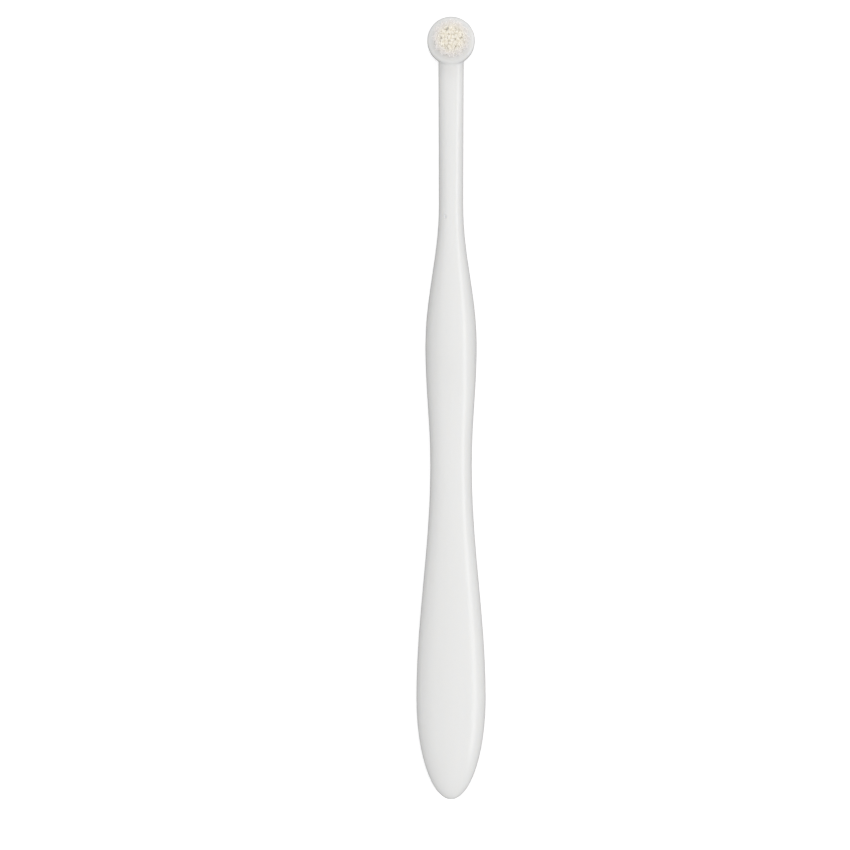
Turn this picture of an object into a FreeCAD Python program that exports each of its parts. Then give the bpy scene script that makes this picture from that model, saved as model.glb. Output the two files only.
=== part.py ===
"""A pet toothbrush with a small round head.

One moulded handle carries the head at the end of a slim neck. Nineteen bristle tufts stand in
blind sockets in the head, each folded round a flat metal anchor that bites into the socket's wall.

The brush lies on its back on the plane Z = 0, along Y, with the head towards +Y and the bristles
pointing to +Z. Stations are distances along the brush from the tip of its tail. Millimetres.
"""
import FreeCAD, Part
import math
import os

import Sketcher

# Driving dimensions: name, value, meaning. Heights are above the plane that the brush lies on.
SIZES = [
    ("overall_length", 174.0, "tip of the tail to the far rim of the head"),
    ("tail_length", 22.3, "tip of the tail to the widest section of the palm swell"),
    ("tip_angle", 87.0, "how far round its half-ellipsoid the tail goes before its flat tip, in degrees"),
    ("palm_width", 15.4, "width of the palm swell"),
    ("palm_top", 8.2, "height of the front of the palm swell"),
    ("palm_back", -0.15, "height of the back of the palm swell, before its flat is cut"),
    ("waist_station", 74.4, "station of the waist"),
    ("waist_width", 9.2, "width of the waist"),
    ("waist_top", 7.5, "height of the front of the waist"),
    ("waist_back", 0.9, "height of the back of the waist"),
    ("thumb_station", 88.0, "station where the thumb's hollow starts to climb to the crest"),
    ("thumb_top", 7.8, "height of the front there"),
    ("crest_station", 101.0, "station of the crest of the finger swell"),
    ("crest_width", 11.4, "width of the finger swell"),
    ("crest_top", 9.2, "height of the front of the finger swell"),
    ("crest_back", -0.15, "height of the back of the finger swell, before its flat is cut"),
    ("neck_station", 132.0, "station where the neck starts"),
    ("neck_width", 5.4, "width of the neck at its start"),
    ("neck_top", 7.3, "height of the front of the neck at its start"),
    ("neck_back", 2.1, "height of the back of the neck at its start"),
    ("collar_width", 5.6, "width of the neck where it meets the head"),
    ("collar_step", 0.7, "drop from the head's face to the front of the neck"),
    ("collar_inset", 0.5, "rise from the head's back to the back of the neck"),
    ("head_diameter", 10.6, "diameter of the head"),
    ("head_thickness", 5.0, "thickness of the head"),
    ("head_face", 7.7, "height of the head's face"),
    ("face_rounding", 0.8, "radius of the rim's edge at the face"),
    ("back_rounding", 2.0, "radius of the rim's edge at the back"),
    ("collar_fillet", 0.45, "radius of the fillet between neck and head"),
    ("mark_offset", 1.45, "distance of the ejector mark from the middle of the neck"),
    ("mark_setback", 2.4, "distance of the ejector mark before the neck's start"),
    ("mark_diameter", 0.9, "diameter of the ejector mark"),
    ("mark_depth", 0.08, "depth of the ejector mark at its middle"),
    ("socket_diameter", 1.2, "diameter of a tuft's socket"),
    ("socket_depth", 3.0, "depth of a tuft's socket"),
    ("inner_ring", 1.6, "radius of the inner ring of sockets"),
    ("outer_ring", 3.2, "radius of the outer ring of sockets"),
    ("tuft_clearance", 0.01, "gap between a tuft and its socket's wall"),
    ("tip_diameter", 1.5, "diameter of a tuft at its tips"),
    ("inner_spread", 0.06, "how far an inner tuft's tips lean out"),
    ("outer_spread", 0.1, "how far an outer tuft's tips lean out"),
    ("bristle_height", 7.0, "height of the centre tuft above the face"),
    ("trim_ball", 8.7, "radius of the dome that the tufts are trimmed to"),
    ("fold_thickness", 0.4, "depth of filaments under an anchor"),
    ("anchor_height", 1.4, "height of an anchor"),
    ("anchor_thickness", 0.25, "thickness of an anchor"),
    ("anchor_bite", 0.1, "how far each end of an anchor bites into the socket's wall"),
    ("anchor_turn", 20.0, "angle of the anchors across the head, in degrees"),
]

# Expressions that several pieces share.
HEAD_STATION = "(Sizes.overall_length - Sizes.head_diameter / 2)"
HEAD_Y = f"({HEAD_STATION} - Sizes.overall_length / 2)"
HEAD_BACK = "(Sizes.head_face - Sizes.head_thickness)"
SOCKET_FLOOR = "(Sizes.head_face - Sizes.socket_depth)"

# The grip's stations, and its width, front and back there, as expressions.
STATION = {
    "palm": "Sizes.tail_length",
    "waist": "Sizes.waist_station",
    "thumb": "Sizes.thumb_station",
    "crest": "Sizes.crest_station",
    "neck": "Sizes.neck_station",
    "collar": HEAD_STATION,
}
PROFILE = {
    "width": {name: f"Sizes.{name}_width" for name in ("palm", "waist", "crest", "neck", "collar")},
    "top": {name: f"Sizes.{name}_top" for name in ("palm", "waist", "thumb", "crest", "neck")},
    "back": {name: f"Sizes.{name}_back" for name in ("palm", "waist", "crest", "neck")},
}
PROFILE["top"]["collar"] = "(Sizes.head_face - Sizes.collar_step)"
PROFILE["back"]["collar"] = f"({HEAD_BACK} + Sizes.collar_inset)"

# Each stretch of the grip: its two stations and how many parts its sections divide it into.
STRETCHES = [
    ("palm", "waist", 10),
    ("waist", "thumb", 3),
    ("thumb", "crest", 3),
    ("crest", "neck", 7),
    ("neck", "collar", 7),
]
# Sections of the half-ellipsoid tail, as shares of the angle from its widest section to its tip.
TAIL_SHARES = [1, 0.92, 0.76, 0.6, 0.44, 0.29, 0.14]

# Points that fix the round of a section.
RING_POINTS = 16

# Rings of tufts: name, how many, radius of the sockets and lean of the tips.
RINGS = [
    ("centre", 1, "0", "0"),
    ("inner", 6, "Sizes.inner_ring", "Sizes.inner_spread"),
    ("outer", 12, "Sizes.outer_ring", "Sizes.outer_spread"),
]


def make_sheet(doc):
    """The driving dimensions, one per row, with their meanings beside them."""
    sheet = doc.addObject("Spreadsheet::Sheet", "Sizes")
    for row, (name, value, meaning) in enumerate(SIZES, start=1):
        sheet.set(f"A{row}", name)
        sheet.set(f"B{row}", str(value))
        sheet.set(f"C{row}", meaning)
        sheet.setAlias(f"B{row}", name)
    doc.recompute()
    return sheet


def add(doc, kind, name, **expressions):
    """A document object whose properties follow expressions. Two underscores stand for a dot."""
    made = doc.addObject(kind, name)
    for path, expression in expressions.items():
        made.setExpression(path.replace("__", "."), expression)
    return made


def along(station):
    """The Y of a station: the origin is half way along the brush."""
    return f"({station} - Sizes.overall_length / 2)"


def anchors_around(profile, start, finish):
    """The two stations with a stated size that enclose a stretch in one profile."""
    order = list(STATION)
    stated = [name for name in order if name in PROFILE[profile]]
    before = [name for name in stated if order.index(name) <= order.index(start)]
    after = [name for name in stated if order.index(name) >= order.index(finish)]
    return before[-1], after[0]


def profile_at(profile, start, finish, station):
    """A profile's size at a station in a stretch: a half cosine between its stated sizes."""
    low, high = anchors_around(profile, start, finish)
    share = f"(({station} - {STATION[low]}) / ({STATION[high]} - {STATION[low]}))"
    first, last = PROFILE[profile][low], PROFILE[profile][high]
    return f"({first} + ({last} - {first}) * (1 - cos(180 * {share})) / 2)"


def add_section(doc, name, station, width, top, back):
    """The rectangle round an elliptical cross-section of the grip, square to its length."""
    section = add(
        doc,
        "Part::Plane",
        name,
        Length=width,
        Width=f"{top} - {back}",
        Placement__Base__x=f"-{width} / 2",
        Placement__Base__y=along(station),
        Placement__Base__z=back,
    )
    section.Placement.Rotation = FreeCAD.Rotation(FreeCAD.Vector(1, 0, 0), 90)
    return section


def tail_sections(doc):
    """The sections of the half-ellipsoid tail, from the small flat at its tip."""
    middle = "(Sizes.palm_top + Sizes.palm_back) / 2"
    half = "(Sizes.palm_top - Sizes.palm_back) / 2"
    sections = []
    for number, share in enumerate(TAIL_SHARES):
        angle = f"(Sizes.tip_angle * {share})"
        sections.append(
            add_section(
                doc,
                f"tail_section_{number}",
                f"(Sizes.tail_length * (1 - sin({angle}) / sin(Sizes.tip_angle)))",
                f"(Sizes.palm_width * cos({angle}))",
                f"({middle} + {half} * cos({angle}))",
                f"({middle} - {half} * cos({angle}))",
            )
        )
    return sections


def grip_sections(doc):
    """The sections from the palm swell to the end of the neck, inside the head."""
    sections = []
    for start, finish, parts in STRETCHES:
        first = 0 if start == "palm" else 1
        for step in range(first, parts + 1):
            run = f"({STATION[finish]} - {STATION[start]})"
            station = f"({STATION[start]} + {run} * {step} / {parts})"
            sizes = [profile_at(p, start, finish, station) for p in ("width", "top", "back")]
            sections.append(add_section(doc, f"{start}_section_{step}", station, *sizes))
    return sections


def spline_through(points, parameters, slope):
    """A curve through points that leaves the first with a slope and ends straight along Y."""
    curve = Part.BSplineCurve()
    curve.interpolate(
        Points=points,
        Parameters=parameters,
        InitialTangent=slope,
        FinalTangent=FreeCAD.Vector(0, 1, 0),
        Scale=False,
    )
    return curve


def unit_ring():
    """A closed curve along the unit circle in the XZ plane."""
    turns = [2 * math.pi * step / RING_POINTS for step in range(RING_POINTS)]
    ring = Part.BSplineCurve()
    ring.interpolate(
        Points=[FreeCAD.Vector(math.cos(turn), 0, math.sin(turn)) for turn in turns],
        PeriodicFlag=True,
    )
    ring.setNotPeriodic()
    return ring


def skin_over(sections):
    """A smooth surface through the ellipses in section rectangles, and its parameter at each."""
    widths = [section.Length.Value / 2 for section in sections]
    heights = [section.Width.Value / 2 for section in sections]
    places = [
        section.Placement.Base + FreeCAD.Vector(width, 0, height)
        for section, width, height in zip(sections, widths, heights)
    ]
    parameters = [0]
    for last in range(1, len(places)):
        widening = widths[last] - widths[last - 1]
        advance = places[last].y - places[last - 1].y
        parameters.append(parameters[-1] + math.hypot(widening, advance))
    side, front = (
        spline_through(
            [FreeCAD.Vector(size, place.y, place.z) for size, place in zip(sizes, places)],
            parameters,
            FreeCAD.Vector(sizes[0] / widths[0], 0, 0),
        )
        for sizes in (widths, heights)
    )
    ring = unit_ring()
    poles = [
        [
            FreeCAD.Vector(turn.x * wide.x, wide.y, wide.z + turn.z * high.x)
            for wide, high in zip(side.getPoles(), front.getPoles())
        ]
        for turn in ring.getPoles()
    ]
    surface = Part.BSplineSurface()
    surface.buildFromPolesMultsKnots(
        poles,
        ring.getMultiplicities(),
        side.getMultiplicities(),
        ring.getKnots(),
        side.getKnots(),
        False,
        False,
        ring.Degree,
        side.Degree,
    )
    return surface, parameters


def cut_into_faces(surface, rounds, lengths):
    """A surface cut into faces at parameters round it and along it."""
    faces = []
    for low, high in zip(lengths, lengths[1:]):
        for left, right in zip(rounds, rounds[1:]):
            patch = surface.copy()
            patch.segment(left, right, low, high)
            faces.append(patch.toShape())
    return faces


def flat_ends(faces):
    """The two flat faces that close a tube of faces along Y."""
    across = [edge for face in faces for edge in face.Edges if edge.BoundBox.YLength < 1e-6]
    places = [edge.BoundBox.YMin for edge in across]
    ends = []
    for place in (min(places), max(places)):
        rim = [edge for edge in across if abs(edge.BoundBox.YMin - place) < 1e-6]
        ends.append(Part.Face(Part.Wire(rim)))
    return ends


def make_grip(doc):
    """The handle without its head: one smooth skin over its sections, closed inside the head.

    A loft feature waves between these unevenly spaced sections, so the skin is built here. Its
    front and back halves meet at the parting line.
    """
    tail = tail_sections(doc)
    sections = tail + grip_sections(doc)
    doc.recompute()
    surface, parameters = skin_over(sections)
    begin, end, _, _ = surface.bounds()
    counts = [len(tail)] + [parts for _, _, parts in STRETCHES]
    lengths = [parameters[sum(counts[:number])] for number in range(len(counts) + 1)]
    faces = cut_into_faces(surface, [begin, (begin + end) / 2, end], lengths)
    shell = Part.Shell(faces + flat_ends(faces))
    shell.sewShape()
    grip = doc.addObject("Part::Feature", "grip")
    grip.Shape = Part.Solid(shell)
    return grip


def draw_head_profile(sketch):
    """Half of the head's outline, from its axis out to its rim."""
    face, rim, back, axis = range(4)
    start, finish, horizontal, vertical = 1, 2, -1, -2
    corners = [FreeCAD.Vector(x, y, 0) for x, y in ((0, 8), (5, 8), (5, 3), (0, 3))]
    for first, last in zip(corners, corners[1:] + corners[:1]):
        sketch.addGeometry(Part.LineSegment(first, last))
    for rule in (
        ("Coincident", face, finish, rim, start),
        ("Coincident", rim, finish, back, start),
        ("Coincident", back, finish, axis, start),
        ("Coincident", axis, finish, face, start),
        ("Horizontal", face),
        ("Horizontal", back),
        ("Vertical", rim),
        ("PointOnObject", axis, start, vertical),
        ("PointOnObject", axis, finish, vertical),
    ):
        sketch.addConstraint(Sketcher.Constraint(*rule))
    for name, rule, expression in (
        ("half_width", ("DistanceX", face, start, face, finish, 5.0), "Sizes.head_diameter / 2"),
        ("thickness", ("DistanceY", axis, start, axis, finish, 5.0), "Sizes.head_thickness"),
        ("height", ("DistanceY", horizontal, 1, face, start, 8.0), "Sizes.head_face"),
    ):
        index = sketch.addConstraint(Sketcher.Constraint(*rule))
        sketch.renameConstraint(index, name)
        sketch.setExpression(f"Constraints.{name}", expression)


def round_rim(doc, body, turned):
    """Rounds the rim's two edges, the one at the back more softly."""
    last = turned
    for name, where in (("face_rounding", max), ("back_rounding", min)):
        longest = max(edge.Length for edge in last.Shape.Edges)
        circles = [
            (edge.CenterOfMass.z, f"Edge{number}")
            for number, edge in enumerate(last.Shape.Edges, start=1)
            if edge.Length > 0.99 * longest
        ]
        fillet = body.newObject("PartDesign::Fillet", name)
        fillet.Base = (last, [where(circles)[1]])
        fillet.setExpression("Radius", f"Sizes.{name}")
        doc.recompute()
        last = fillet
    return last


def make_head(doc):
    """The head before its sockets are made: a round button, turned about the bristles' axis."""
    body = doc.addObject("PartDesign::Body", "head_button")
    sketch = body.newObject("Sketcher::SketchObject", "head_profile")
    plane = next(f for f in body.Origin.OriginFeatures if f.Role == "YZ_Plane")
    sketch.AttachmentSupport = [(plane, "")]
    sketch.MapMode = "FlatFace"
    sketch.setExpression("AttachmentOffset.Base.x", HEAD_Y)
    draw_head_profile(sketch)
    doc.recompute()
    turned = body.newObject("PartDesign::Revolution", "head_turned")
    turned.Profile = sketch
    turned.ReferenceAxis = (sketch, ["V_Axis"])
    turned.Angle = 360
    doc.recompute()
    body.Tip = round_rim(doc, body, turned)
    doc.recompute()
    return body


def join_neck(doc, grip, head):
    """Grip and head in one piece, with a fillet all round where the neck meets the head."""
    joined = doc.addObject("Part::MultiFuse", "joined")
    joined.Shapes = [grip, head]
    doc.recompute()
    body = doc.addObject("PartDesign::Body", "blank")
    body.BaseFeature = joined
    doc.recompute()
    base = body.Group[0]
    near_head = head.Shape.BoundBox.YMin
    neck = [face for face in base.Shape.Faces if face.BoundBox.YMin < near_head < face.BoundBox.YMax]
    rims = [edge for face in neck for edge in face.Edges if edge.CenterOfMass.y > near_head]
    collar = [
        f"Edge{number}"
        for number, edge in enumerate(base.Shape.Edges, start=1)
        if any(edge.isSame(rim) for rim in rims)
    ]
    fillet = body.newObject("PartDesign::Fillet", "collar_fillet")
    fillet.Base = (base, collar)
    fillet.setExpression("Radius", "Sizes.collar_fillet")
    body.Tip = fillet
    doc.recompute()
    return body


def ejector_mark(doc):
    """The cutter for the shallow round mark that an ejector pin leaves on the neck's root."""
    station = "(Sizes.neck_station - Sizes.mark_setback)"
    width, top, back = (
        profile_at(profile, "crest", "neck", station) for profile in ("width", "top", "back")
    )
    rise = f"({top} - {back}) / 2 * sqrt(1 - (2 * Sizes.mark_offset / {width}) ^ 2)"
    return add(
        doc,
        "Part::Cylinder",
        "ejector_mark",
        Radius="Sizes.mark_diameter / 2",
        Height="Sizes.mark_diameter",
        Placement__Base__x="-Sizes.mark_offset",
        Placement__Base__y=along(station),
        Placement__Base__z=f"({top} + {back}) / 2 + {rise} - Sizes.mark_depth",
    )


def table_block(doc):
    """The cutter under the plane Z = 0 that leaves the flats the brush rests on."""
    return add(
        doc,
        "Part::Box",
        "table_block",
        Length="2 * Sizes.palm_width",
        Width="Sizes.overall_length",
        Height="Sizes.palm_top",
        Placement__Base__x="-Sizes.palm_width",
        Placement__Base__y="-Sizes.overall_length / 2",
        Placement__Base__z="-Sizes.palm_top",
    )


def tuft_places():
    """Every tuft's name, its direction from the head's centre, its radius there and its lean."""
    places = []
    for ring, count, radius, lean in RINGS:
        for number in range(count):
            name = ring if count == 1 else f"{ring}_{number + 1:02d}"
            places.append((name, 360 * number / count, radius, lean))
    return places


def place_on_head(angle, radius):
    """X and Y of a point at an angle and radius on the head, as expressions."""
    return f"{radius} * sin({angle})", f"{HEAD_Y} + {radius} * cos({angle})"


def make_anchor(doc, name, angle, radius):
    """A flat strip of metal across the socket, a little longer than the socket is wide."""
    length = "(Sizes.socket_diameter + 2 * Sizes.anchor_bite)"
    centre_x, centre_y = place_on_head(angle, radius)
    turn = "Sizes.anchor_turn"
    corner_x = f"({length} * cos({turn}) - Sizes.anchor_thickness * sin({turn})) / 2"
    corner_y = f"({length} * sin({turn}) + Sizes.anchor_thickness * cos({turn})) / 2"
    anchor = add(
        doc,
        "Part::Box",
        f"anchor_{name}",
        Length=length,
        Width="Sizes.anchor_thickness",
        Height="Sizes.anchor_height",
    )
    anchor.Placement.Rotation = FreeCAD.Rotation(FreeCAD.Vector(0, 0, 1), 1)
    anchor.setExpression("Placement.Rotation.Angle", turn)
    anchor.setExpression("Placement.Base.x", f"{centre_x} - {corner_x}")
    anchor.setExpression("Placement.Base.y", f"{centre_y} - {corner_y}")
    anchor.setExpression("Placement.Base.z", f"{SOCKET_FLOOR} + Sizes.fold_thickness")
    return anchor


def make_socket(doc, name, angle, radius):
    """The blind hole that a tuft stands in, open at the head's face."""
    x, y = place_on_head(angle, radius)
    return add(
        doc,
        "Part::Cylinder",
        f"socket_{name}",
        Radius="Sizes.socket_diameter / 2",
        Height="Sizes.socket_depth",
        Placement__Base__x=x,
        Placement__Base__y=y,
        Placement__Base__z=SOCKET_FLOOR,
    )


def make_tuft(doc, name, angle, radius, lean, anchor, dome):
    """A folded bundle of filaments: a shank in the socket and a flare trimmed to the dome."""
    shank_radius = "(Sizes.socket_diameter / 2 - Sizes.tuft_clearance)"
    root_x, root_y = place_on_head(angle, radius)
    tip_x, tip_y = place_on_head(angle, f"({radius} + {lean})")
    shank = add(
        doc,
        "Part::Cylinder",
        f"shank_{name}",
        Radius=shank_radius,
        Height="Sizes.socket_depth",
        Placement__Base__x=root_x,
        Placement__Base__y=root_y,
        Placement__Base__z=SOCKET_FLOOR,
    )
    rings = [
        add(
            doc,
            "Part::Circle",
            f"{end}_{name}",
            Radius=size,
            Placement__Base__x=x,
            Placement__Base__y=y,
            Placement__Base__z=height,
        )
        for end, size, x, y, height in (
            ("root", shank_radius, root_x, root_y, "Sizes.head_face"),
            ("tip", "Sizes.tip_diameter / 2", tip_x, tip_y, "Sizes.head_face + Sizes.bristle_height"),
        )
    ]
    flare = doc.addObject("Part::Loft", f"flare_{name}")
    flare.Sections = rings
    flare.Solid = True
    flare.Ruled = True
    bundle = doc.addObject("Part::MultiFuse", f"bundle_{name}")
    bundle.Shapes = [shank, flare]
    trimmed = doc.addObject("Part::Common", f"trimmed_{name}")
    trimmed.Base = bundle
    trimmed.Tool = dome
    tuft = doc.addObject("Part::Cut", f"tuft_{name}")
    tuft.Base = trimmed
    tuft.Tool = anchor
    return tuft


def make_handle(doc, sockets, anchors):
    """The handle: grip, neck and head in one moulding, with its flats, sockets and anchor slots."""
    joined = join_neck(doc, make_grip(doc), make_head(doc))
    cutters = doc.addObject("Part::MultiFuse", "socket_cutters")
    cutters.Shapes = sockets + anchors + [ejector_mark(doc), table_block(doc)]
    handle = doc.addObject("Part::Cut", "handle")
    handle.Base = joined
    handle.Tool = cutters
    return handle


def build(doc):
    """Makes every piece and returns those that are separate on the real brush."""
    make_sheet(doc)
    dome = add(
        doc,
        "Part::Sphere",
        "trim_dome",
        Radius="Sizes.trim_ball",
        Placement__Base__y=HEAD_Y,
        Placement__Base__z="Sizes.head_face + Sizes.bristle_height - Sizes.trim_ball",
    )
    sockets, anchors, tufts = [], [], []
    for name, angle, radius, lean in tuft_places():
        sockets.append(make_socket(doc, name, angle, radius))
        anchors.append(make_anchor(doc, name, angle, radius))
        tufts.append(make_tuft(doc, name, angle, radius, lean, anchors[-1], dome))
    handle = make_handle(doc, sockets, anchors)
    doc.recompute()
    return [handle] + tufts + anchors


def check(doc, pieces):
    """Stops the build if any object failed, or if a piece isn't one sound solid."""
    for thing in doc.Objects:
        if "Invalid" in thing.State or "Error" in thing.State:
            raise RuntimeError(f"{thing.Name} failed: {thing.State}")
    for piece in pieces:
        shape = piece.Shape
        if shape.isNull() or not shape.isValid() or len(shape.Solids) != 1:
            raise RuntimeError(f"{piece.Label} is not one valid solid")


def main():
    doc = FreeCAD.newDocument("pet_toothbrush")
    pieces = build(doc)
    check(doc, pieces)
    os.makedirs("parts", exist_ok=True)
    for piece in pieces:
        piece.Shape.exportStep(os.path.join("parts", piece.Label + ".step"))
        box = piece.Shape.BoundBox
        size = " x ".join(f"{s:.2f}" for s in (box.XLength, box.YLength, box.ZLength))
        print(f"{piece.Label}: {size} mm, {piece.Shape.Volume:.2f} mm3")


main()
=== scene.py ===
"""The looks of a small pet toothbrush: a glossy white moulded handle and 19 tufts of fine filaments."""
import math
import random

import bpy
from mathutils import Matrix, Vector


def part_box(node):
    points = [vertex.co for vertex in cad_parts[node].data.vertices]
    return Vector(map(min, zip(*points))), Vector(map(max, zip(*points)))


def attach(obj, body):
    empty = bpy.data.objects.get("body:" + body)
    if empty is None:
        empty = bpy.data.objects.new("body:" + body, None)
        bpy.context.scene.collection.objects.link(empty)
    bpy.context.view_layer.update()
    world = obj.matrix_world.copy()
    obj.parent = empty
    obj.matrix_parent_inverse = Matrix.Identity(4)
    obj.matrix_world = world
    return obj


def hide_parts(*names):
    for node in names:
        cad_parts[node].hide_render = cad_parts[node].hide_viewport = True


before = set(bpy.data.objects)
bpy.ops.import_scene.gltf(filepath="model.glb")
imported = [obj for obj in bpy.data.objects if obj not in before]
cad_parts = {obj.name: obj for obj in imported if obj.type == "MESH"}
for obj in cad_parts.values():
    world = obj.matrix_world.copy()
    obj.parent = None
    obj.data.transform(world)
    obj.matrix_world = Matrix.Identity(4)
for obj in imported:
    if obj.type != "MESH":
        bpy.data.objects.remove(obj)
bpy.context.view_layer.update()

MM = 0.001

# ---------------------------------------------------------------------------
# Places read from the CAD parts in model.glb. The centre tuft stands on the floor of its socket,
# in the middle of the head, and is the tallest. A socket is as deep as in the CAD.
# ---------------------------------------------------------------------------
CENTRE_LOW, CENTRE_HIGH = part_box("tuft_centre")
HEAD_X = (CENTRE_LOW.x + CENTRE_HIGH.x) / 2
HEAD_Y = (CENTRE_LOW.y + CENTRE_HIGH.y) / 2
SOCKET_DEPTH = 3.0 * MM
FACE = CENTRE_LOW.z + SOCKET_DEPTH
TIP = CENTRE_HIGH.z


# ---------------------------------------------------------------------------
# Materials
# ---------------------------------------------------------------------------
# The bristles' painted glow and painted tint are warm up to the first distance from the head's middle, and
# cooler and dimmer beyond the second.
PAINTED_WARM_REACH = 2.3 * MM
PAINTED_COOL_REACH = 3.9 * MM


def grey(level):
    """A neutral colour."""
    return (level, level, level)


def new_material(name):
    """A new material, with its node tree and its principled shader."""
    material = bpy.data.materials.new(name)
    material.use_nodes = True
    tree = material.node_tree
    return material, tree, tree.nodes["Principled BSDF"]


def node(tree, kind, **values):
    """A node with some of its inputs or properties set."""
    made = tree.nodes.new(kind)
    for key, value in values.items():
        if key in made.inputs:
            made.inputs[key].default_value = value
        else:
            setattr(made, key, value)
    return made


def noise(tree, vector, **values):
    """A noise value at each place that a vector gives."""
    made = node(tree, "ShaderNodeTexNoise", **values)
    tree.links.new(vector, made.inputs["Vector"])
    return made.outputs["Fac"]


def ramp(tree, source, stops):
    """The colour that a value picks from a ramp of (place, colour) stops."""
    made = tree.nodes.new("ShaderNodeValToRGB")
    elements = made.color_ramp.elements
    while len(elements) < len(stops):
        elements.new(0.5)
    for element, (place, colour) in zip(elements, stops):
        element.position = place
        element.color = (*colour, 1)
    tree.links.new(source, made.inputs["Fac"])
    return made.outputs["Color"]


def remap(tree, source, old=(0, 1), new=(0, 1)):
    """A value taken from an old range to a new one, and held inside the new one."""
    made = tree.nodes.new("ShaderNodeMapRange")
    for name, limit in zip(("From Min", "From Max", "To Min", "To Max"), (*old, *new)):
        made.inputs[name].default_value = limit
    tree.links.new(source, made.inputs["Value"])
    return made.outputs["Result"]


def multiply(tree, one, other):
    """Two colours multiplied."""
    made = node(tree, "ShaderNodeMix", data_type="RGBA", blend_type="MULTIPLY")
    made.inputs[0].default_value = 1.0
    tree.links.new(one, made.inputs[6])
    tree.links.new(other, made.inputs[7])
    return made.outputs[2]


def plastic_material():
    """Glossy white moulded plastic: faint flow streaks, a trace of orange peel and softly uneven gloss."""
    material, tree, shader = new_material("white_moulded_plastic")
    link = tree.links.new
    place = node(tree, "ShaderNodeTexCoord").outputs["Object"]
    stretch = node(tree, "ShaderNodeMapping", Scale=(1.0, 0.08, 1.0))
    link(place, stretch.inputs["Vector"])
    flow = noise(tree, stretch.outputs["Vector"], Scale=150.0, Detail=2.0, Roughness=0.5)
    tint = ramp(tree, flow, [(0.25, (0.826, 0.826, 0.816)), (0.75, (0.842, 0.842, 0.834))])
    link(tint, shader.inputs["Base Color"])
    scuffs = noise(tree, stretch.outputs["Vector"], Scale=420.0, Detail=4.0, Roughness=0.6)
    link(remap(tree, scuffs, new=(0.19, 0.29)), shader.inputs["Roughness"])
    peel = noise(tree, place, Scale=700.0, Detail=1.0, Roughness=0.4)
    fine = node(tree, "ShaderNodeBump", Strength=0.3, Distance=0.004 * MM)
    link(peel, fine.inputs["Height"])
    link(fine.outputs["Normal"], shader.inputs["Normal"])
    shader.inputs["IOR"].default_value = 1.52
    shader.inputs["Subsurface Weight"].default_value = 0.2
    shader.inputs["Subsurface Radius"].default_value = (1.0, 0.95, 0.85)
    shader.inputs["Subsurface Scale"].default_value = 0.6 * MM
    return material


def head_reach(tree, split):
    """How far a place is from the head's middle, seen from above: 0 up to PAINTED_WARM_REACH, 1 from PAINTED_COOL_REACH."""
    level = tree.nodes.new("ShaderNodeCombineXYZ")
    tree.links.new(split.outputs["X"], level.inputs["X"])
    tree.links.new(split.outputs["Y"], level.inputs["Y"])
    reach = node(tree, "ShaderNodeVectorMath", operation="DISTANCE")
    tree.links.new(level.outputs["Vector"], reach.inputs[0])
    reach.inputs[1].default_value = (HEAD_X, HEAD_Y, 0)
    return remap(tree, reach.outputs["Value"], old=(PAINTED_WARM_REACH, PAINTED_COOL_REACH))


def bristle_material():
    """Cream filaments, deeper in colour towards their roots, with a painted glow and a painted tint that
    change from the head's middle to its outer ring.

    The faint emission is a painted glow: it stands for light that the clear filaments carry up from the
    white head, and it lifts the shade between them, most in the middle of the head.
    """
    material, tree, shader = new_material("cream_filament")
    link = tree.links.new
    place = node(tree, "ShaderNodeTexCoord").outputs["Object"]
    split = node(tree, "ShaderNodeSeparateXYZ")
    link(place, split.inputs["Vector"])
    rise = remap(tree, split.outputs["Z"], old=(FACE, TIP))
    root_to_tip = [
        (0.0, (0.92, 0.89, 0.82)),
        (0.6, (0.95, 0.93, 0.87)),
        (0.93, (0.97, 0.95, 0.90)),
        (1.0, (0.98, 0.965, 0.93)),
    ]
    depth = ramp(tree, rise, root_to_tip)
    each = node(tree, "ShaderNodeAttribute", attribute_name="filament").outputs["Fac"]
    vary = ramp(tree, each, [(0.0, (0.95, 0.94, 0.90)), (0.5, grey(1.0)), (1.0, (1.0, 0.99, 0.96))])
    outer = head_reach(tree, split)
    # Painted tint: the outer ring's base colour is a touch cooler, standing in for light through the clear
    # filaments.
    ring = ramp(tree, outer, [(0.0, (0.964, 0.96, 0.962)), (1.0, (0.95, 0.953, 1.0))])
    colour = multiply(tree, multiply(tree, depth, vary), ring)
    link(colour, shader.inputs["Base Color"])
    # Painted glow: the emission is strongest and warmest in the middle of the head, lifting the shade
    # between the filaments, and dimmer and cooler in the outer ring.
    painted_glow = ramp(tree, outer, [(0.0, (0.937, 0.934, 0.925)), (1.0, (0.785, 0.795, 0.86))])
    link(multiply(tree, colour, painted_glow), shader.inputs["Emission Color"])
    grain = noise(tree, place, Scale=3500.0, Detail=2.0)
    link(remap(tree, grain, new=(0.32, 0.5)), shader.inputs["Roughness"])
    shader.inputs["IOR"].default_value = 1.53
    shader.inputs["Specular IOR Level"].default_value = 0.35
    shader.inputs["Emission Strength"].default_value = 0.17
    return material


def brass_material():
    """Drawn brass strip with a fine uneven grain."""
    material, tree, shader = new_material("drawn_brass")
    place = node(tree, "ShaderNodeTexCoord").outputs["Object"]
    grain = noise(tree, place, Scale=9000.0, Detail=2.0)
    tint = ramp(tree, grain, [(0.3, (0.62, 0.43, 0.17)), (0.7, (0.80, 0.60, 0.28))])
    tree.links.new(tint, shader.inputs["Base Color"])
    tree.links.new(remap(tree, grain, new=(0.22, 0.42)), shader.inputs["Roughness"])
    shader.inputs["Metallic"].default_value = 1.0
    return material


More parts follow.
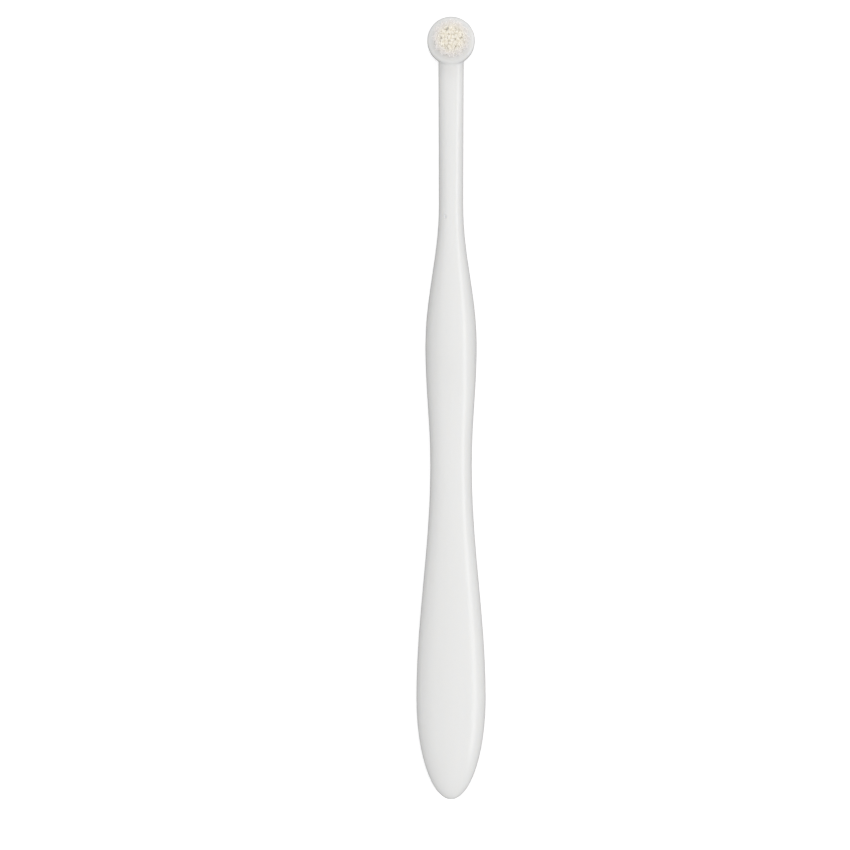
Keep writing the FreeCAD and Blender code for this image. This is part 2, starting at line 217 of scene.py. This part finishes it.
def floor_material():
    """Matt white paper, with a faint glow that keeps it as white as a lit studio sweep."""
    material, tree, shader = new_material("white_paper")
    place = node(tree, "ShaderNodeTexCoord").outputs["Object"]
    fibre = noise(tree, place, Scale=400.0, Detail=3.0)
    tint = ramp(tree, fibre, [(0.3, grey(0.93)), (0.7, grey(0.945))])
    tree.links.new(tint, shader.inputs["Base Color"])
    shader.inputs["Roughness"].default_value = 0.9
    shader.inputs["Specular IOR Level"].default_value = 0.1
    shader.inputs["Emission Color"].default_value = (1, 1, 1, 1)
    shader.inputs["Emission Strength"].default_value = 0.42
    return material


def make_object(name, points, faces, material):
    """A mesh object with one material."""
    mesh = bpy.data.meshes.new(name)
    mesh.from_pydata([tuple(point) for point in points], [], faces)
    mesh.materials.append(material)
    made = bpy.data.objects.new(name, mesh)
    bpy.context.scene.collection.objects.link(made)
    return made


# ---------------------------------------------------------------------------
# Tufts
# ---------------------------------------------------------------------------
RINGS = {"centre": 1, "inner": 6, "outer": 12}

# The filaments of a tuft. The four sizes after the radius are shares of it.
FILAMENTS = 150
FILAMENT_SIDES = 6
FILAMENT_STEPS = 7
FILAMENT_RADIUS = 0.066 * MM
THINNEST = 0.88
THICKEST = 1.1
TIP_TAPER = 0.72
TIP_ROUNDING = 0.6

# A tuft's roots stand in a disc inside its socket. Each filament curves from its root, past a knee
# straight above it, to its tip. The tips spread, lean outwards and are shaken, ring by ring.
BUNDLE_RADIUS = 0.55 * MM
FOOT_SHAKE = 0.06 * BUNDLE_RADIUS
ROOT_DEPTH = 1.15 * MM
KNEE_HEIGHT = 1.6 * MM
TIP_SPREAD = {"centre": 1.0 * MM, "inner": 1.08 * MM, "outer": 0.98 * MM}
TIP_LEAN = {"centre": 0.0, "inner": 0.10 * MM, "outer": 0.02 * MM}
TIP_SHAKE = {"centre": 0.07 * MM, "inner": 0.08 * MM, "outer": 0.17 * MM}

# The ball whose top the tips are cut to, how far out it is followed, and how uneven the cut is.
TRIM_BALL = 8.7 * MM
WIDEST_TRIM = 0.9 * TRIM_BALL
CUT_SHAKE = 0.11 * MM

# The clumps that a tuft's tips gather into: how many, how far out as a share of the tips' spread, and
# how uneven their angles are as a share of a step. A pull of 1 brings a tip all the way to its clump,
# and a filament's pull lies between the weakest and the strongest share of its ring's.
CLUMPS = {"centre": 3, "inner": 4, "outer": 4}
CLUMP_REACH = 0.55
CLUMP_SHAKE = 0.25
CLUMP_PULL = {"centre": 0.52, "inner": 0.50, "outer": 0.30}
WEAKEST_PULL = 0.5
STRONGEST_PULL = 1.2

# The packed core of a tuft. It has a share of the width of a bundle that widens with a power of the
# height, and the middle one of the filaments' colours.
CORE_SIDES = 20
CORE_STEPS = 8
CORE_TOP = 5.0 * MM
CORE_SPREAD = 0.72 * MM
CORE_FLARE = 1.5
CORE_FILL = 0.97
CORE_CROWN = 0.25 * MM
CORE_SHADE = 0.5


def sunflower(count, radius, rng):
    """Points spread evenly over a disc, slightly shaken."""
    golden = math.pi * (3 - math.sqrt(5))
    points = []
    for k in range(count):
        reach = radius * math.sqrt((k + 0.5) / count)
        x = reach * math.cos(k * golden) + rng.gauss(0, FOOT_SHAKE)
        y = reach * math.sin(k * golden) + rng.gauss(0, FOOT_SHAKE)
        points.append(Vector((x, y, 0)))
    return points


def trim_height(point):
    """The height of the dome over a point."""
    reach = min(math.hypot(point.x - HEAD_X, point.y - HEAD_Y), WIDEST_TRIM)
    return TIP - TRIM_BALL + math.sqrt(TRIM_BALL ** 2 - reach ** 2)


def tuft_names():
    """Every tuft's ring and the end of its name."""
    for ring, count in RINGS.items():
        for number in range(count):
            yield ring, ring if count == 1 else f"{ring}_{number + 1:02d}"


def tuft_root(name):
    """The middle of a tuft's socket at the head's face, from the place of its anchor."""
    low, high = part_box(f"anchor_{name}")
    middle = (low + high) / 2
    return Vector((middle.x, middle.y, FACE))


def tuft_middle(ring, root):
    """The middle of a tuft's tips seen from above: its root, moved out by the ring's lean."""
    outward = Vector((root.x - HEAD_X, root.y - HEAD_Y, 0))
    if outward.length > 0:
        outward.normalize()
    return root + TIP_LEAN[ring] * outward


def tip_clumps(ring, rng):
    """The places that a tuft's tips gather round, from the tuft's middle."""
    clumps = []
    for k in range(CLUMPS[ring]):
        angle = 2 * math.pi * (k + rng.uniform(-CLUMP_SHAKE, CLUMP_SHAKE)) / CLUMPS[ring] + rng.uniform(0, 1)
        clumps.append(CLUMP_REACH * TIP_SPREAD[ring] * Vector((math.cos(angle), math.sin(angle), 0)))
    return clumps


def filament_tip(ring, middle, foot, clumps, rng):
    """The tip of the filament on a foot: spread, drawn to the nearest clump, shaken and cut."""
    spread = foot * (TIP_SPREAD[ring] / BUNDLE_RADIUS)
    nearest = min(clumps, key=lambda clump: (clump - spread).length)
    pull = CLUMP_PULL[ring] * rng.uniform(WEAKEST_PULL, STRONGEST_PULL)
    loose = Vector((rng.gauss(0, TIP_SHAKE[ring]), rng.gauss(0, TIP_SHAKE[ring]), 0))
    tip = middle + spread.lerp(nearest, pull) + loose
    tip.z = trim_height(tip) - abs(rng.gauss(0, CUT_SHAKE))
    return tip


def filament_path(root, foot, tip):
    """Centres from inside the socket to the tip, which start straight up and then lean."""
    start = root + foot
    start.z = FACE - ROOT_DEPTH
    knee = root + foot
    knee.z = FACE + KNEE_HEIGHT
    path = []
    for step in range(FILAMENT_STEPS + 1):
        t = step / FILAMENT_STEPS
        path.append((1 - t) ** 2 * start + 2 * t * (1 - t) * knee + t * t * tip)
    return path


def join_rings(first, sides, steps, faces):
    """Four-sided faces between rings of points that follow one another."""
    for step in range(steps):
        for turn in range(sides):
            a = first + step * sides + turn
            b = first + step * sides + (turn + 1) % sides
            faces.append((a, b, b + sides, a + sides))


def add_filament(path, radius, points, faces):
    """A thin closed tube along a path, with a rounded tip."""
    first = len(points)
    last = len(path) - 1
    for k, centre in enumerate(path):
        along = (path[min(k + 1, last)] - path[max(k - 1, 0)]).normalized()
        side = along.cross(Vector((0, 1, 0))).normalized()
        other = along.cross(side)
        size = radius * (1 if k < last else TIP_TAPER)
        for turn in range(FILAMENT_SIDES):
            angle = 2 * math.pi * turn / FILAMENT_SIDES
            points.append(centre + size * (math.cos(angle) * side + math.sin(angle) * other))
    join_rings(first, FILAMENT_SIDES, last, faces)
    end = (path[-1] - path[-2]).normalized()
    bottom = len(points)
    points.append(path[0])
    points.append(path[-1] + TIP_ROUNDING * radius * end)
    top_ring = first + last * FILAMENT_SIDES
    for turn in range(FILAMENT_SIDES):
        after = (turn + 1) % FILAMENT_SIDES
        faces.append((first + after, first + turn, bottom))
        faces.append((top_ring + turn, top_ring + after, bottom + 1))


def add_core(root, middle, points, faces):
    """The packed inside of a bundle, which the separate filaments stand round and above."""
    first = len(points)
    for step in range(CORE_STEPS + 1):
        t = step / CORE_STEPS
        centre = root.lerp(middle, t ** CORE_FLARE)
        centre.z = FACE - ROOT_DEPTH + t * (CORE_TOP + ROOT_DEPTH)
        size = (BUNDLE_RADIUS + (CORE_SPREAD - BUNDLE_RADIUS) * t ** CORE_FLARE) * CORE_FILL
        for turn in range(CORE_SIDES):
            angle = 2 * math.pi * turn / CORE_SIDES
            points.append(centre + size * Vector((math.cos(angle), math.sin(angle), 0)))
    join_rings(first, CORE_SIDES, CORE_STEPS, faces)
    faces.append(tuple(first + turn for turn in reversed(range(CORE_SIDES))))
    top_ring = first + CORE_STEPS * CORE_SIDES
    crown = len(points)
    points.append(centre + Vector((0, 0, CORE_CROWN)))
    for turn in range(CORE_SIDES):
        faces.append((top_ring + turn, top_ring + (turn + 1) % CORE_SIDES, crown))


def make_tuft(ring, name, material):
    """A bundle of separate filaments round a packed core, in place of the CAD's closed tuft."""
    rng = random.Random(f"tuft {name}")
    root = tuft_root(name)
    middle = tuft_middle(ring, root)
    feet = sunflower(FILAMENTS, BUNDLE_RADIUS, rng)
    clumps = tip_clumps(ring, rng)
    points = []
    faces = []
    add_core(root, middle, points, faces)
    shades = [CORE_SHADE] * len(points)
    for foot in feet:
        tip = filament_tip(ring, middle, foot, clumps, rng)
        radius = FILAMENT_RADIUS * rng.uniform(THINNEST, THICKEST)
        add_filament(filament_path(root, foot, tip), radius, points, faces)
        shades += [rng.random()] * (len(points) - len(shades))
    piece = make_object(f"bristles_{name}", points, faces, material)
    shade = piece.data.attributes.new("filament", "FLOAT", "POINT")
    shade.data.foreach_set("value", shades)
    piece.data.polygons.foreach_set("use_smooth", [True] * len(faces))
    piece.data.update()
    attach(piece, "root")
    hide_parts(f"tuft_{name}")


# ---------------------------------------------------------------------------
# Stage, lights and camera
# ---------------------------------------------------------------------------
FLOOR_REACH = 3.0

# Soft boxes that face the middle of the brush: name, place, width and height in metres, and watts.
SOFT_BOXES = [
    ("side", (0.76, 0.0, 0.54), (0.9, 0.26), 1.7),
    ("fill", (-0.60, 0.0, 0.85), (1.0, 0.5), 0.45),
    ("top", (0.05, 0.80, 1.15), (0.35, 0.25), 0.85),
]

# The studio's brightness from straight down (0) over the horizon (0.5) to straight up (1).
SKY = [(0.0, grey(0.20)), (0.46, grey(0.28)), (0.52, grey(0.74)), (0.80, grey(0.83))]

CAMERA_PLACE = Vector((-5.8 * MM, -3.7 * MM, 990 * MM))
CAMERA_LENS = 187.5


def make_floor(material):
    """A sheet of paper under the brush's back, which the brush neither reflects nor takes light from."""
    far = FLOOR_REACH
    corners = [(-far, -far, 0), (far, -far, 0), (far, far, 0), (-far, far, 0)]
    floor = make_object("floor", corners, [(0, 1, 2, 3)], material)
    floor.visible_diffuse = False
    floor.visible_glossy = False


def make_soft_box(name, place, size, power):
    """A rectangular soft box that faces the middle of the brush."""
    data = bpy.data.lights.new(name, "AREA")
    data.shape = "RECTANGLE"
    data.size, data.size_y = size
    data.energy = power
    light = bpy.data.objects.new(name, data)
    light.location = place
    light.rotation_euler = (Vector((0, 0, 0)) - Vector(place)).to_track_quat("-Z", "Y").to_euler()
    bpy.context.scene.collection.objects.link(light)


def make_world():
    """A studio that is white above the horizon and dim below it."""
    world = bpy.data.worlds.new("studio")
    world.use_nodes = True
    tree = world.node_tree
    background = tree.nodes["Background"]
    split = node(tree, "ShaderNodeSeparateXYZ")
    tree.links.new(node(tree, "ShaderNodeTexCoord").outputs["Generated"], split.inputs["Vector"])
    rise = remap(tree, split.outputs["Z"], old=(-1, 1))
    tree.links.new(ramp(tree, rise, SKY), background.inputs["Color"])
    background.inputs["Strength"].default_value = 1.0
    bpy.context.scene.world = world


def make_camera():
    """A long lens straight above the brush."""
    data = bpy.data.cameras.new("camera")
    data.lens = CAMERA_LENS
    data.sensor_width = 36
    data.clip_start = 0.01
    camera = bpy.data.objects.new("camera", data)
    camera.location = CAMERA_PLACE
    bpy.context.scene.collection.objects.link(camera)
    bpy.context.scene.camera = camera


def paint(piece, material):
    """A CAD node keeps its mesh and gets a new material."""
    for slot in piece.material_slots:
        slot.material = material


def main():
    """The handle and anchors painted, the tufts made, and the studio set up round them."""
    plastic = plastic_material()
    bristle = bristle_material()
    brass = brass_material()
    paint(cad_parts["handle"], plastic)
    for ring, name in tuft_names():
        paint(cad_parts[f"anchor_{name}"], brass)
        make_tuft(ring, name, bristle)
    make_floor(floor_material())
    make_world()
    for name, place, size, power in SOFT_BOXES:
        make_soft_box(name, place, size, power)
    make_camera()
    view = bpy.context.scene.view_settings
    view.view_transform = "Standard"
    view.look = "None"


main()
